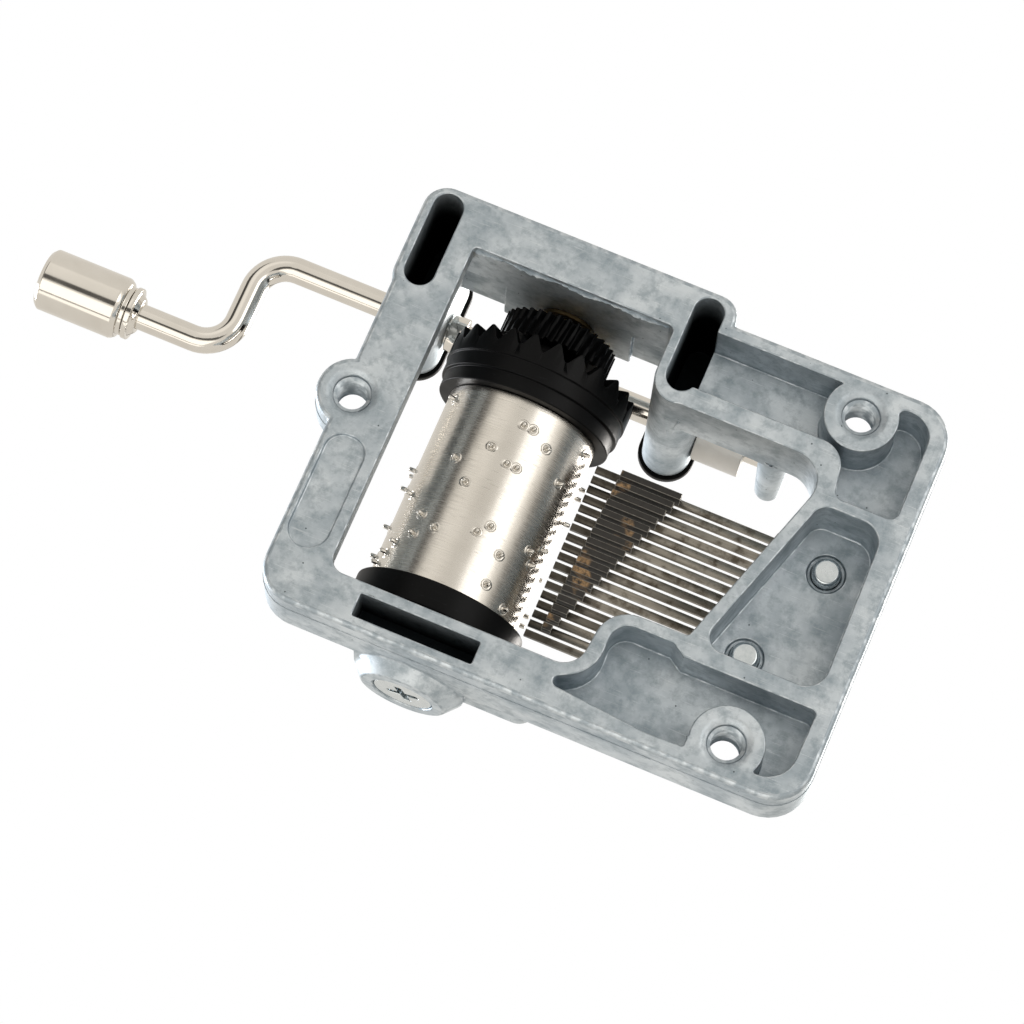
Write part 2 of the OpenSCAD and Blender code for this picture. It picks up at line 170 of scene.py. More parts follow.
# the tent's wall is nearly even, from the side below the object to the side above it
glow = add(tent, "MapRange", {0: axes[2], 1: -1.0, 2: 1.0, 3: 1.08, 4: 1.02}).outputs[0]
for x0, x1, y0, y1, brightness, soft in PANELS:
    inside = None
    for value, low, high in ((lean[0], x0, x1), (lean[1], y0, y1)):
        for edge, sign in ((low, 1), (high, -1)):
            step = add(tent, "MapRange", {0: value, 1: edge - sign * soft, 2: edge + sign * soft},
                       interpolation_type="SMOOTHSTEP").outputs[0]
            inside = step if inside is None else add(
                tent, "Math", {0: inside, 1: step}, operation="MULTIPLY").outputs[0]
    glow = add(tent, "Mix", {"Factor": inside, "A": glow, "B": brightness}).outputs[0]
lit = add(tent, "Background", {"Color": TENT_WALL, "Strength": glow}).outputs[0]
plain = add(tent, "Background", {"Color": (1, 1, 1, 1), "Strength": 1.0}).outputs[0]
seen = add(tent, "LightPath").outputs["Is Camera Ray"]
both = add(tent, "MixShader", {0: seen, 1: lit, 2: plain}).outputs[0]
add(tent, "OutputWorld", {"Surface": both})
print("tent nodes:", len(tent.nodes))

# %% [markdown]
# ### Floor and lamps
# A pale floor lies well below the camera. It is only there to be seen in views from above,
# so it sends no light back at the object. Three soft lamps give the matt zinc a direction
# of light. A weak one lies below, on the comb side, and lights the mounting face. Two stand
# above, one on the comb side and one on the crank side, for the views of the mechanism.

# %% Floor and lamps
FLOOR_Z = -0.6
FLOOR_SIZE = 6.0
bpy.ops.object.select_all(action="DESELECT")
bpy.ops.mesh.primitive_plane_add(size=FLOOR_SIZE, location=(0, 0, FLOOR_Z))
floor = bpy.context.object
floor.name = "floor"
paint = bpy.data.materials.new("matt_white_paint")
paint.use_nodes = True
paint.node_tree.nodes["Principled BSDF"].inputs["Base Color"].default_value = linear("#f2f2f0")
paint.node_tree.nodes["Principled BSDF"].inputs["Roughness"].default_value = 0.8
floor.data.materials.append(paint)
floor.visible_glossy = False
floor.visible_diffuse = False

middle = (design_box[0] + design_box[1]) / 2


def lamp(name, place, size, watts, colour):
    """A round soft lamp that points at the middle of the object."""
    data = bpy.data.lights.new(name, "AREA")
    data.shape = "DISK"
    data.size = size
    data.energy = watts
    data.color = linear(colour)[:3]
    obj = bpy.data.objects.new(name, data)
    obj.location = place
    obj.rotation_mode = "QUATERNION"
    obj.rotation_quaternion = (middle - Vector(place)).to_track_quat("-Z", "Y")
    scene.collection.objects.link(obj)


lamp("low_lamp", (0.34, -0.16, -0.46), 0.35, 0.38, "#ffffff")
lamp("high_lamp", (0.45, -0.30, 0.55), 0.45, 6.0, "#fffaf4")
lamp("side_lamp", (-0.60, 0.20, 0.35), 0.35, 4.0, "#f4f8ff")
print("floor at", FLOOR_Z, "lamps:", len(bpy.data.lights))

# %% [markdown]
# ### Die-cast zinc
# The bed is cast in a steel mould from a zinc alloy. Its skin is a cool grey, clouded where
# the metal chilled, with fine scratches from the tumbling drum and tiny dark pits. It is a
# metal, so almost all of its look is reflection: the roughness clouds matter more than the
# colour clouds. Where edges rub in the drum they turn brighter and smoother, so the bevels
# get a second finish of the same metal.

# %% Zinc finishes
PER_MM = 1 / MM


def start_material(name):
    """A new material: itself, its tree, its shader and the coordinates of the object."""
    material = bpy.data.materials.new(name)
    material.use_nodes = True
    tree = material.node_tree
    return material, tree, tree.nodes["Principled BSDF"], add(tree, "TexCoord").outputs["Object"]


def scratches(tree, place, length_mm, width_mm, turn):
    """Fine straight scratches: noise that is stretched along one direction, from 0 to 1."""
    stretch = (PER_MM / length_mm, PER_MM / width_mm, PER_MM / width_mm)
    turned = add(tree, "Mapping", {"Vector": place, "Rotation": turn, "Scale": stretch})
    lines = add(tree, "TexNoise", {"Vector": turned.outputs[0], "Scale": 1.0, "Detail": 2.0})
    return add(tree, "MapRange", {0: lines.outputs[0], 1: 0.66, 2: 0.74}).outputs[0]


def cast_zinc(name, deep=None):
    """The casting's skin; with two depths in mm it goes dark between them: painted shade, as in a
    deep core.
    """
    material, tree, shader, place = start_material(name)
    cloud = add(tree, "TexNoise", {"Vector": place, "Scale": PER_MM / 6, "Detail": 8.0,
                                   "Roughness": 0.62}).outputs[0]
    blot = add(tree, "TexNoise", {"Vector": place, "Scale": PER_MM / 1.6, "Detail": 6.0,
                                  "Roughness": 0.7}).outputs[0]
    grain = add(tree, "TexNoise", {"Vector": place, "Scale": PER_MM / 0.3,
                                   "Detail": 3.0}).outputs[0]
    pits = add(tree, "TexVoronoi", {"Vector": place, "Scale": PER_MM / 1.7}).outputs["Distance"]
    # cool pale clouds over a greyer ground give the chilled skin
    clouded = add(tree, "MapRange", {0: cloud, 1: 0.38, 2: 0.62}).outputs[0]
    skin = add(tree, "Mix", {0: clouded, 6: linear("#abb5bc"), 7: linear("#d0d7dc")},
               data_type="RGBA").outputs[2]
    # darker blots are where the mould release burned on
    blotted = add(tree, "MapRange", {0: blot, 1: 0.46, 2: 0.64, 3: 0.0, 4: 0.62}).outputs[0]
    skin = add(tree, "Mix", {0: blotted, 6: skin, 7: linear("#87949c")},
               data_type="RGBA").outputs[2]
    # painted shade: ambient occlusion darkens the skin in corners and creases
    shut = add(tree, "AmbientOcclusion", {"Distance": 1.3 * MM}, samples=6,
               only_local=True).outputs["AO"]
    painted_corner_shade = add(tree, "MapRange", {0: shut, 1: 0.35, 2: 0.85, 3: 0.35, 4: 0.0}).outputs[0]
    skin = add(tree, "Mix", {0: painted_corner_shade, 6: skin, 7: linear("#66727b")}, data_type="RGBA").outputs[2]
    pitted = add(tree, "MapRange", {0: pits, 1: 0.055, 2: 0.03}).outputs[0]
    skin = add(tree, "Mix", {0: pitted, 6: skin, 7: linear("#4d565c")},
               data_type="RGBA").outputs[2]
    rub_a = scratches(tree, place, 3.0, 0.10, (0.2, 0.1, 0.5))
    rub_b = scratches(tree, place, 2.2, 0.08, (0.1, 0.3, -0.9))
    rubbed = add(tree, "Math", {0: rub_a, 1: rub_b}, operation="MAXIMUM").outputs[0]
    faint = add(tree, "Math", {0: rubbed, 1: 0.28}, operation="MULTIPLY").outputs[0]
    skin = add(tree, "Mix", {0: faint, 6: skin, 7: linear("#f2f5f7")}, data_type="RGBA").outputs[2]
    dull = add(tree, "MapRange", {0: cloud, 1: 0.3, 2: 0.7, 3: 0.62, 4: 0.46}).outputs[0]
    worn = add(tree, "Math", {0: rubbed, 1: -0.12}, operation="MULTIPLY").outputs[0]
    rough = add(tree, "Math", {0: dull, 1: worn}, operation="ADD").outputs[0]
    height = add(tree, "Math", {0: blot, 1: 3.0}, operation="MULTIPLY").outputs[0]
    height = add(tree, "Math", {0: height, 1: grain}, operation="ADD").outputs[0]
    height = add(tree, "Math", {0: height, 1: rubbed}, operation="SUBTRACT").outputs[0]
    bump = add(tree, "Bump", {"Height": height, "Strength": 0.30, "Distance": 0.03 * MM})
    # painted shade: the skin darkens with depth, where light does not reach into a deep core
    if deep:
        depth = add(tree, "SeparateXYZ", {0: place}).outputs[2]
        painted_core_shade = add(tree, "MapRange", {0: depth, 1: deep[0] * MM, 2: deep[1] * MM}).outputs[0]
        skin = add(tree, "Mix", {0: painted_core_shade, 6: skin, 7: linear("#1a1f22")},
                   data_type="RGBA").outputs[2]
    plug(tree, shader, {"Base Color": skin, "Roughness": rough, "Normal": bump.outputs[0],
                        "Metallic": 0.88})
    return material


zinc = cast_zinc("die_cast_zinc")
zinc_core_painted_shade = cast_zinc("die_cast_zinc_with_painted_core_shade", deep=(0.5, 5.0))

zinc_edge, tree, shader, place = start_material("burnished_zinc_edge")
nicks = add(tree, "TexNoise", {"Vector": place, "Scale": PER_MM / 0.9, "Detail": 5.0}).outputs[0]
worn = add(tree, "MapRange", {0: nicks, 1: 0.42, 2: 0.62}).outputs[0]
skin = add(tree, "Mix", {0: worn, 6: linear("#a3adb4"), 7: linear("#c9d0d5")},
           data_type="RGBA").outputs[2]
rough = add(tree, "MapRange", {0: worn, 3: 0.55, 4: 0.40}).outputs[0]
bump = add(tree, "Bump", {"Height": nicks, "Strength": 0.3, "Distance": 0.03 * MM})
plug(tree, shader, {"Base Color": skin, "Roughness": rough, "Normal": bump.outputs[0],
                    "Metallic": 0.9})
print("zinc:", len(zinc.node_tree.nodes), "nodes")

# %% [markdown]
# ### Nickel plate
# The crank, its knob and the sleeve are plated with bright nickel. Nickel is warmer than
# chrome: a faint straw tint. The crank is drawn rod, so its plate has long fine lines along
# it. The sleeve was polished on a spindle, so its lines run round it. To follow the sleeve,
# its pattern uses the angle round the axis times the radius, which unrolls the surface.

# %% Nickel finishes
nickel, tree, shader, place = start_material("bright_nickel_plate")
drawn = add(tree, "Mapping", {"Vector": place,
                              "Scale": (PER_MM / 9, PER_MM / 0.22, PER_MM / 0.22)})
lines = add(tree, "TexNoise", {"Vector": drawn.outputs[0], "Scale": 1.0, "Detail": 4.0}).outputs[0]
haze = add(tree, "TexNoise", {"Vector": place, "Scale": PER_MM / 2.5, "Detail": 5.0}).outputs[0]
tint = add(tree, "Mix", {0: haze, 6: linear("#cfcac2"), 7: linear("#e2ded7")},
           data_type="RGBA").outputs[2]
rough = add(tree, "MapRange", {0: haze, 1: 0.35, 2: 0.7, 3: 0.07, 4: 0.15}).outputs[0]
bump = add(tree, "Bump", {"Height": lines, "Strength": 0.16, "Distance": 0.012 * MM})
plug(tree, shader, {"Base Color": tint, "Roughness": rough, "Normal": bump.outputs[0],
                    "Metallic": 1.0})

joints = {joint["name"]: joint for joint in frame["joints"]}
CYLINDER_AXIS = Vector(joints["cylinder_spin"]["pos_m"])
SLEEVE_R = 6.9 * MM

sleeve_nickel, tree, shader, place = start_material("spun_nickel_plate")
centred = add(tree, "VectorMath", {0: place, 1: CYLINDER_AXIS}, operation="SUBTRACT").outputs[0]
part = add(tree, "SeparateXYZ", {0: centred}).outputs
angle = add(tree, "Math", {0: part[2], 1: part[0]}, operation="ARCTAN2").outputs[0]
around = add(tree, "Math", {0: angle, 1: SLEEVE_R}, operation="MULTIPLY").outputs[0]
unrolled = add(tree, "CombineXYZ", {0: around, 1: part[1], 2: 0.0}).outputs[0]
fine = add(tree, "Mapping", {"Vector": unrolled, "Scale": (PER_MM / 2.4, PER_MM / 0.12, 1.0)})
fine = add(tree, "TexNoise", {"Vector": fine.outputs[0], "Scale": 1.0, "Detail": 3.0}).outputs[0]
marks = add(tree, "Mapping", {"Vector": unrolled, "Scale": (PER_MM / 1.6, PER_MM / 0.16, 1.0)})
marks = add(tree, "TexNoise", {"Vector": marks.outputs[0], "Scale": 1.0, "Detail": 1.0}).outputs[0]
marks = add(tree, "MapRange", {0: marks, 1: 0.68, 2: 0.76}).outputs[0]
waves = add(tree, "TexNoise", {"Vector": place, "Scale": PER_MM / 3.0, "Detail": 3.0}).outputs[0]
tint = add(tree, "Mix", {0: waves, 6: linear("#c6c1b9"), 7: linear("#dbd7d0")},
           data_type="RGBA").outputs[2]
rough = add(tree, "MapRange", {0: fine, 1: 0.3, 2: 0.7, 3: 0.20, 4: 0.32}).outputs[0]
height = add(tree, "Math", {0: fine, 1: marks}, operation="SUBTRACT").outputs[0]
swell = add(tree, "Math", {0: waves, 1: 5.0}, operation="MULTIPLY").outputs[0]
height = add(tree, "Math", {0: height, 1: swell}, operation="ADD").outputs[0]
bump = add(tree, "Bump", {"Height": height, "Strength": 0.25, "Distance": 0.02 * MM})
plug(tree, shader, {"Base Color": tint, "Roughness": rough, "Normal": bump.outputs[0],
                    "Metallic": 1.0})

print("sleeve turns about", [round(v / MM, 2) for v in CYLINDER_AXIS], "mm")

# %% [markdown]
# ### Black moulded acetal
# The crown ring, worm wheel, end disc and post caps are moulded from black acetal, a slippery
# engineering plastic. It has a satin skin with a soft highlight, a few handling scuffs, and
# a very fine orange-peel texture from the mould.

# %% Acetal
acetal, tree, shader, place = start_material("black_acetal")
peel = add(tree, "TexNoise", {"Vector": place, "Scale": PER_MM / 0.25, "Detail": 2.0}).outputs[0]
scuff = scratches(tree, place, 2.5, 0.12, (0.4, 0.9, 0.3))
smear = add(tree, "TexNoise", {"Vector": place, "Scale": PER_MM / 4, "Detail": 5.0}).outputs[0]
shade = add(tree, "Mix", {0: smear, 6: linear("#060607"), 7: linear("#0e0f10")},
            data_type="RGBA").outputs[2]
scuffed = add(tree, "Math", {0: scuff, 1: 0.4}, operation="MULTIPLY").outputs[0]
shade = add(tree, "Mix", {0: scuffed, 6: shade, 7: linear("#232529")},
            data_type="RGBA").outputs[2]
rough = add(tree, "MapRange", {0: smear, 1: 0.3, 2: 0.7, 3: 0.30, 4: 0.46}).outputs[0]
bump = add(tree, "Bump", {"Height": peel, "Strength": 0.12, "Distance": 0.02 * MM})
plug(tree, shader, {"Base Color": shade, "Roughness": rough, "Normal": bump.outputs[0],
                    "IOR": 1.48, "Specular IOR Level": 0.10})

print("acetal:", len(tree.nodes), "nodes")

# %% [markdown]
# ### Spring steel of the comb
# The comb is ground from hardened spring steel and left raw, so it is a brownish grey with
# fine grinding lines along the teeth and a few rust freckles. Near the tips the teeth are
# painted darker: painted shade.

# %% Comb steel
comb_steel, tree, shader, place = start_material("ground_spring_steel")
ground = add(tree, "Mapping", {"Vector": place,
                               "Scale": (PER_MM / 4, PER_MM / 0.09, PER_MM / 0.09)})
ground = add(tree, "TexNoise", {"Vector": ground.outputs[0], "Scale": 1.0,
                                "Detail": 3.0}).outputs[0]
stain = add(tree, "TexNoise", {"Vector": place, "Scale": PER_MM / 1.3, "Detail": 6.0,
                               "Roughness": 0.65}).outputs[0]
base = add(tree, "Mix", {0: ground, 6: linear("#78736b"), 7: linear("#a8a297")},
           data_type="RGBA").outputs[2]
stained = add(tree, "MapRange", {0: stain, 1: 0.50, 2: 0.66, 3: 0.0, 4: 0.85}).outputs[0]
base = add(tree, "Mix", {0: stained, 6: base, 7: linear("#564d40")}, data_type="RGBA").outputs[2]
tip_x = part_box("comb")[0].x
along = add(tree, "SeparateXYZ", {0: place}).outputs[0]
# painted shade: the teeth darken towards their tips
painted_tip_shade = add(tree, "MapRange", {0: along, 1: tip_x + 2 * MM, 2: tip_x + 5 * MM,
                              3: 0.85, 4: 0.0}).outputs[0]
base = add(tree, "Mix", {0: painted_tip_shade, 6: base, 7: linear("#3b3731")}, data_type="RGBA").outputs[2]
rough = add(tree, "MapRange", {0: stain, 1: 0.3, 2: 0.7, 3: 0.30, 4: 0.52}).outputs[0]
bump = add(tree, "Bump", {"Height": ground, "Strength": 0.25, "Distance": 0.02 * MM})
plug(tree, shader, {"Base Color": base, "Roughness": rough, "Normal": bump.outputs[0],
                    "Metallic": 0.95})

print("comb tips at x =", round(tip_x / MM, 2), "mm")

# %% [markdown]
# ### Lead weights
# Each low tooth carries a lump of lead that slows it down to its note. Old lead is almost
# black and dull, with rust-brown flux left on a few of the lumps. The lumps' bevelled edges
# get a lighter finish, a painted highlight.

# %% Lead finishes
lead, tree, shader, place = start_material("filed_lead")
crust = add(tree, "TexNoise", {"Vector": place, "Scale": PER_MM / 0.6, "Detail": 5.0,
                               "Roughness": 0.7}).outputs[0]
patch = add(tree, "TexNoise", {"Vector": place, "Scale": PER_MM / 3.6, "Detail": 2.0}).outputs[0]
base = add(tree, "Mix", {0: crust, 6: linear("#1d1b19"), 7: linear("#3d3a36")},
           data_type="RGBA").outputs[2]
rusty = add(tree, "MapRange", {0: patch, 1: 0.56, 2: 0.61}).outputs[0]
speckle = add(tree, "MapRange", {0: crust, 1: 0.38, 2: 0.6}).outputs[0]
rusty = add(tree, "Math", {0: rusty, 1: speckle}, operation="MULTIPLY").outputs[0]
base = add(tree, "Mix", {0: rusty, 6: base, 7: linear("#a3825a")}, data_type="RGBA").outputs[2]
bump = add(tree, "Bump", {"Height": crust, "Strength": 0.4, "Distance": 0.06 * MM})
plug(tree, shader, {"Base Color": base, "Normal": bump.outputs[0], "Metallic": 0.35,
                    "Roughness": 0.55})

# painted highlight: the bevels of the lead lumps get this lighter finish
lead_edge_painted_highlight, tree, shader, place = start_material("lead_edge_with_painted_highlight")
painted_gleam = add(tree, "TexNoise", {"Vector": place, "Scale": PER_MM / 0.5, "Detail": 3.0}).outputs[0]
base = add(tree, "Mix", {0: painted_gleam, 6: linear("#57534d"), 7: linear("#aaa69d")},
           data_type="RGBA").outputs[2]
plug(tree, shader, {"Base Color": base, "Metallic": 0.8, "Roughness": 0.4})

print("bare lead edge:", len(tree.nodes), "nodes")

# %% [markdown]
# ### Screws, brass and nylon
# The screws are steel with a bright zinc plate, a little blue and blotchy. The worm and the
# arbor's washer are free-cutting brass with turning lines. The bush is pressed from bronze
# powder and soaked in oil, so it is dark and dull. The retainer is a split sleeve of natural
# nylon: milky and glossy.

# %% Small-part finishes
plated_steel, tree, shader, place = start_material("zinc_plated_steel")
blotch = add(tree, "TexNoise", {"Vector": place, "Scale": PER_MM / 0.7, "Detail": 4.0}).outputs[0]
base = add(tree, "Mix", {0: blotch, 6: linear("#b4bcc0"), 7: linear("#e3e8ea")},
           data_type="RGBA").outputs[2]
rough = add(tree, "MapRange", {0: blotch, 1: 0.3, 2: 0.7, 3: 0.16, 4: 0.32}).outputs[0]
bump = add(tree, "Bump", {"Height": blotch, "Strength": 0.3, "Distance": 0.04 * MM})
plug(tree, shader, {"Base Color": base, "Roughness": rough, "Normal": bump.outputs[0],
                    "Metallic": 1.0})

brass, tree, shader, place = start_material("free_cutting_brass")
turned = add(tree, "Mapping", {"Vector": place,
                               "Scale": (PER_MM / 0.15, PER_MM / 0.15, PER_MM / 0.5)})
turned = add(tree, "TexNoise", {"Vector": turned.outputs[0], "Scale": 1.0,
                                "Detail": 3.0}).outputs[0]
base = add(tree, "Mix", {0: turned, 6: linear("#a8803a"), 7: linear("#d9b56c")},
           data_type="RGBA").outputs[2]
bump = add(tree, "Bump", {"Height": turned, "Strength": 0.15, "Distance": 0.02 * MM})
plug(tree, shader, {"Base Color": base, "Normal": bump.outputs[0], "Metallic": 1.0,
                    "Roughness": 0.26})

bronze, tree, shader, place = start_material("oiled_sintered_bronze")
pores = add(tree, "TexNoise", {"Vector": place, "Scale": PER_MM / 0.2, "Detail": 4.0}).outputs[0]
base = add(tree, "Mix", {0: pores, 6: linear("#2b241a"), 7: linear("#6b5a3c")},
           data_type="RGBA").outputs[2]
bump = add(tree, "Bump", {"Height": pores, "Strength": 0.3, "Distance": 0.03 * MM})
plug(tree, shader, {"Base Color": base, "Normal": bump.outputs[0], "Metallic": 0.9,
                    "Roughness": 0.5})

nylon, tree, shader, place = start_material("natural_nylon")
milk = add(tree, "TexNoise", {"Vector": place, "Scale": PER_MM / 1.5, "Detail": 4.0}).outputs[0]
base = add(tree, "Mix", {0: milk, 6: linear("#c4c1bc"), 7: linear("#d9d6d1")},
           data_type="RGBA").outputs[2]
bump = add(tree, "Bump", {"Height": milk, "Strength": 0.15, "Distance": 0.05 * MM})
plug(tree, shader, {"Base Color": base, "Normal": bump.outputs[0], "Roughness": 0.3,
                    "IOR": 1.53})
print("materials:", len(bpy.data.materials))

# %% [markdown]
# ### Finishing a designed part
# The design's own parts have perfectly sharp corners, which no real part has, and their
# meshes are loose triangles. A finished part starts as a copy: its doubled points are
# merged, flat triangles are joined, and every sharp edge gets a small rounded bevel, because
# it is the bevel that catches the light. Weighted normals keep the flats flat.

# %% Copy, merge and bevel
def only(piece):
    """Leaves this one object selected and active."""
    bpy.ops.object.select_all(action="DESELECT")
    piece.select_set(True)
    bpy.context.view_layer.objects.active = piece


def apply_modifier(piece, kind, **settings):
    """Adds one modifier and applies it at once."""
    modifier = piece.modifiers.new(kind.lower(), kind)
    for name, value in settings.items():
        setattr(modifier, name, value)
    only(piece)
    bpy.ops.object.modifier_apply(modifier=modifier.name)


def merged_copy(node, name):
    """A copy of a CAD node's mesh with its points merged and its flat faces joined."""
    piece = bpy.data.objects.new(name, nodes[node].data.copy())
    scene.collection.objects.link(piece)
    piece.data.materials.clear()
    only(piece)
    bpy.ops.object.mode_set(mode="EDIT")
    bpy.ops.mesh.select_all(action="SELECT")
    bpy.ops.mesh.remove_doubles(threshold=0.002 * MM)
    bpy.ops.mesh.dissolve_limited(angle_limit=math.radians(0.4))
    bpy.ops.mesh.normals_make_consistent(inside=False)
    bpy.ops.object.mode_set(mode="OBJECT")
    return piece


def round_edges(piece, edge_mm, finish=-1, sharp=32):
    """Bevels every sharp edge; the bevel can have a finish of its own."""
    apply_modifier(piece, "BEVEL", width=edge_mm * MM, segments=3, limit_method="ANGLE",
                   angle_limit=math.radians(sharp), use_clamp_overlap=False,
                   material=finish, miter_outer="MITER_ARC")


def smooth_faces(piece, smooth=42):
    """Shades smooth up to this angle in degrees, and keeps the flats flat."""
    only(piece)
    bpy.ops.object.shade_smooth_by_angle(angle=math.radians(smooth))
    apply_modifier(piece, "WEIGHTED_NORMAL", keep_sharp=True)
    print(piece.name, len(piece.data.polygons), "faces")


def soften(piece, edge_mm, finishes):
    """The whole treatment: finishes, rounded edges in the last finish, smooth shading."""
    for finish in finishes:
        piece.data.materials.append(finish)
    if edge_mm:
        round_edges(piece, edge_mm, len(finishes) - 1)
    smooth_faces(piece)
    return piece


def settle(piece, body, node):
    """Rides the piece on its body, in place of its CAD node."""
    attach(piece, body)
    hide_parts(node)


# %% [markdown]
# ### The bed
# The casting is one shape with thin walls, pockets and bosses. Its large flats have holes in
# them, and a bevel can spoil a face like that. So the mesh is first cut on a grid whose
# lines pass through every hole, and all other edges that lie inside a flat are dissolved:
# what is left is simple pieces. The cuts are flat and do not show.
#
# The drum rounds the outer rim far more than the edges of the pockets, so the rim gets its
# own wide bevel. A face belongs to the outside if a ray from it meets nothing on its way.

# %% Bed casting
RIM_ROUND = 0.45 * MM
EDGE_ROUND = 0.14 * MM
FLAT = math.radians(0.5)
SHARP = math.radians(32)
# Places of the grid's cuts in mm, along X, along Y and along Z
CUTS = (
    (9.13, 13.37, 20.83, 25.31, 33.17, 39.55, 41.31, 43.37),
    (-15.62, -13.71, -7.31, -3.11, 0.17, 7.16, 16.09),
    (9.37, 16.17),
)
SAME_PLACE = 0.003 * MM


def outside_faces(work, height):
    """Upright faces of an edit mesh that look straight out of the object at this height."""
    walls = BVHTree.FromBMesh(work)
    found = set()
    for face in work.faces:
        start = face.calc_center_median() + face.normal * 0.01 * MM
        start.z = height
        if abs(face.normal.z) < 0.05 and walls.ray_cast(start, face.normal)[0] is None:
            found.add(face.index)
    return found


def choose_edges(piece, wanted):
    """In edit mode, selects the edges that the test wants, and says how many."""
    bpy.ops.mesh.select_mode(type="EDGE")
    bpy.ops.mesh.select_all(action="DESELECT")
    work = bmesh.from_edit_mesh(piece.data)
    count = 0
    for edge in work.edges:
        if len(edge.link_faces) == 2 and wanted(edge):
            edge.select = True
            count += 1
    bmesh.update_edit_mesh(piece.data)
    return count


def on_a_cut(edge):
    """Both ends of the edge lie in the same cut of the grid."""
    start, end = (vertex.co for vertex in edge.verts)
    return any(abs(start[axis] - end[axis]) < SAME_PLACE
               and any(abs(start[axis] - place * MM) < SAME_PLACE for place in places)
               for axis, places in enumerate(CUTS))


def spare_edge(edge):
    """Lies inside a flat, and not on the grid of cuts."""
    return edge.calc_face_angle() < FLAT and not on_a_cut(edge)


bed = merged_copy("bed", "bed_casting")
for finish in (zinc, zinc_edge, zinc_core_painted_shade):
    bed.data.materials.append(finish)
bpy.ops.object.mode_set(mode="EDIT")
for axis, places in enumerate(CUTS):
    for place in places:
        across = [float(i == axis) for i in range(3)]
        bpy.ops.mesh.select_all(action="SELECT")
        bpy.ops.mesh.bisect(plane_co=[place * MM * part for part in across], plane_no=across)
print("spare edges:", choose_edges(bed, spare_edge))
bpy.ops.mesh.dissolve_edges(use_verts=False)
work = bmesh.from_edit_mesh(bed.data)
work.faces.ensure_lookup_table()
outer = outside_faces(work, 0.5 * MM)
# In mm: the bearing cone's foot is past this Y, above this Z and this far from the axis;
# the front wall's top is past this Y and above this Z
CONE_FOOT_Y, CONE_FOOT_Z, CONE_FOOT_ASIDE = 19.45, 6.55, 4.2
FRONT_WALL_Y, FRONT_WALL_Z = -20.5, 6.5


def rim_edge(edge):
    """Sharp, on the mounting face, and beside an outside wall."""
    low = max(abs(vertex.co.z) for vertex in edge.verts) < 0.02 * MM
    outside = any(face.index in outer for face in edge.link_faces)
    return low and outside and edge.calc_face_angle() > SHARP


def pocket_edge(edge):
    """Sharp, and not where edges run into each other: at the bearing cone and the front wall."""
    at = (edge.verts[0].co + edge.verts[1].co) / 2 / MM
    aside = abs(at.x - CYLINDER_AXIS.x / MM)
    cone_foot = at.y > CONE_FOOT_Y and at.z > CONE_FOOT_Z and aside > CONE_FOOT_ASIDE
    front_wall = at.y < FRONT_WALL_Y and at.z > FRONT_WALL_Z
    return edge.calc_face_angle() > SHARP and not cone_foot and not front_wall


print("rim edges:", choose_edges(bed, rim_edge))
bpy.ops.mesh.bevel(offset=RIM_ROUND, segments=4, material=1, clamp_overlap=False)
print("other edges:", choose_edges(bed, pocket_edge))
bpy.ops.mesh.bevel(offset=EDGE_ROUND, segments=3, material=1, clamp_overlap=False,
                   miter_outer="ARC")
bpy.ops.object.mode_set(mode="OBJECT")

# %% [markdown]
# ### The parting line
# Where the halves of the mould met, a hair-fine ridge runs round the outside walls. Two
# bisects cut a narrow band all round, and only the outside faces of the band are pushed out.
# This comes after the bevels, because a bevel is wider than the ridge and would eat it.

# %% Parting line
PARTING_Z = (2.15 * MM, 2.35 * MM)
PARTING_PROUD = 0.06 * MM
only(bed)
bpy.ops.object.mode_set(mode="EDIT")
for height in PARTING_Z:
    bpy.ops.mesh.select_all(action="SELECT")
    bpy.ops.mesh.bisect(plane_co=(0, 0, height), plane_no=(0, 0, 1))
bpy.ops.mesh.select_mode(type="FACE")
bpy.ops.mesh.select_all(action="DESELECT")
work = bmesh.from_edit_mesh(bed.data)
work.faces.ensure_lookup_table()
outer = outside_faces(work, sum(PARTING_Z) / 2)
for face in work.faces:
    face.select = face.index in outer and PARTING_Z[0] < face.calc_center_median().z < PARTING_Z[1]
bmesh.update_edit_mesh(bed.data)
bpy.ops.mesh.extrude_region_shrink_fatten(TRANSFORM_OT_shrink_fatten={"value": PARTING_PROUD})
bpy.ops.object.mode_set(mode="OBJECT")

# %% [markdown]
# ### Deep cores
# Three slots in the casting are several times deeper than they are wide. Light does not
# reach their bottom, so their faces get the finish with painted shade that goes dark with
# depth. A face is in a slot if its middle lies in the slot's plan.

# %% Cores go dark, and the bed is finished
# Each core in mm: from and to along X, from and to along Y, and its depth
CORES = [(-0.55, 2.35, -20.40, -11.25, 13.7), (24.10, 27.00, -20.40, -11.25, 13.7),
         (7.85, 18.95, 16.25, 18.45, 5.1)]
dark_faces = 0
# faces in a core take the finish with painted shade
for polygon in bed.data.polygons:
    x, y, z = polygon.center / MM
    if any(x0 < x < x1 and y0 < y < y1 and 0.05 < z < top for x0, x1, y0, y1, top in CORES):
        polygon.material_index = 2
        dark_faces += 1
smooth_faces(bed)
settle(bed, "base", "bed")
print("faces in the cores:", dark_faces)

# %% [markdown]
# ### Flash in the window
# Molten zinc creeps into the joint of a worn mould and leaves a paper-thin ragged fin. One
# runs along the window's front wall, just under the mounting face. It is a fine grid whose
# free edge is pushed to and fro by a seeded random number, then given a thickness.

# %% Flash fin
random.seed(18)
FLASH_X = (4.6 * MM, 22.8 * MM)
FLASH_Y = -16.66 * MM
FLASH_Z = 0.72 * MM
FLASH_THICK = 0.07 * MM
# In mm: how far the fin reaches, the height of its long waves, how ragged its edge is, and
# how far it curls up or down
REACH, WAVE, RAGGED, CURL = 0.26, 0.10, 0.07, 0.05
